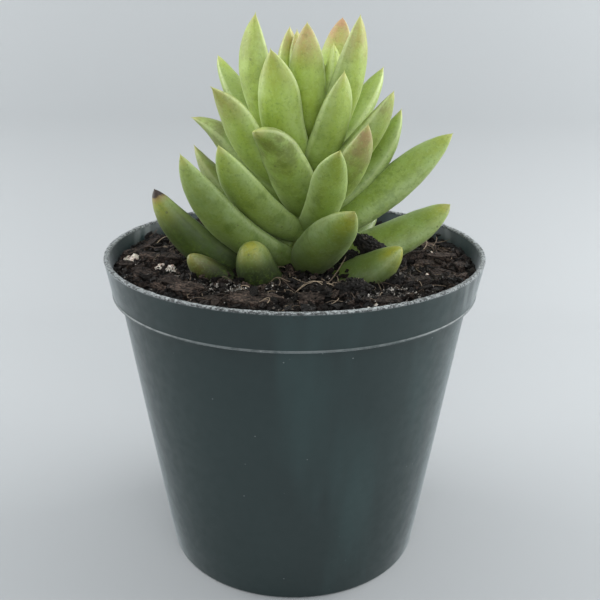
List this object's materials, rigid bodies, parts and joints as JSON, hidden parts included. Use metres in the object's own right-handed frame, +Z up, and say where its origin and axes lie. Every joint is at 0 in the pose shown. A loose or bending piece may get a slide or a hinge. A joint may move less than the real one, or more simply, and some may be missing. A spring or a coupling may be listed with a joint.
{
  "type": "potted succulent",
  "caption": "Small rosette succulent with plump pointed leaves up a short stem, growing in a round nursery pot with a rim band, filled with bark potting mix.",
  "frame": {"origin": "centre of the ring on the pot's underside that the pot stands on, in the plane of the surface it stands on", "axes": "+Z up along the pot's axis, -Y towards the front that the plant was seen from, +X to its right"},
  "size_m": [0.1198, 0.1198, 0.174],
  "materials": {
    "pot_plastic": "smooth moulded polypropylene, dull, with fine scuffs and a paler trimmed lip",
    "potting_mix": "rough dark bark potting mix with brown chips, fine fibres and white perlite",
    "stem_skin": "smooth waxy plant skin, pale yellow-green",
    "upper_leaf_skin": "waxy succulent skin with a soft bloom, pale yellow-green with pinkish tips",
    "lower_leaf_skin": "waxy succulent skin with a heavier grey-green bloom, yellowish tips and small dark flecks"
  },
  "bodies": {
    "root": {"leaf_01": "upper_leaf_skin", "leaf_02": "upper_leaf_skin", "leaf_03": "upper_leaf_skin", "leaf_04": "upper_leaf_skin", "leaf_05": "upper_leaf_skin", "leaf_06": "upper_leaf_skin", "leaf_07": "upper_leaf_skin", "leaf_08": "upper_leaf_skin", "leaf_09": "upper_leaf_skin", "leaf_10": "upper_leaf_skin", "leaf_11": "upper_leaf_skin", "leaf_12": "upper_leaf_skin", "leaf_13": "upper_leaf_skin", "leaf_14": "upper_leaf_skin", "leaf_15": "upper_leaf_skin", "leaf_16": "upper_leaf_skin", "leaf_18": "lower_leaf_skin", "leaf_19": "lower_leaf_skin", "leaf_20": "lower_leaf_skin", "leaf_21": "lower_leaf_skin", "leaf_22": "lower_leaf_skin", "leaf_23": "lower_leaf_skin", "leaf_24": "lower_leaf_skin", "leaf_25": "lower_leaf_skin", "leaf_26": "lower_leaf_skin", "leaf_27": "lower_leaf_skin", "leaf_28": "lower_leaf_skin", "leaf_29": "lower_leaf_skin", "leaf_31": "lower_leaf_skin", "leaf_32": "lower_leaf_skin", "leaf_34": "lower_leaf_skin", "leaf_35": "lower_leaf_skin", "leaf_36": "lower_leaf_skin", "leaf_37": "lower_leaf_skin", "leaf_38": "lower_leaf_skin", "leaf_39": "lower_leaf_skin", "leaf_40": "lower_leaf_skin", "leaf_41": "lower_leaf_skin", "leaf_42": "lower_leaf_skin", "leaf_43": "lower_leaf_skin", "leaf_44": "lower_leaf_skin", "leaf_45": "lower_leaf_skin", "leaf_48": "lower_leaf_skin", "pot": "pot_plastic", "soil": "potting_mix", "stem": "stem_skin"}
  },
  "joints": []
}
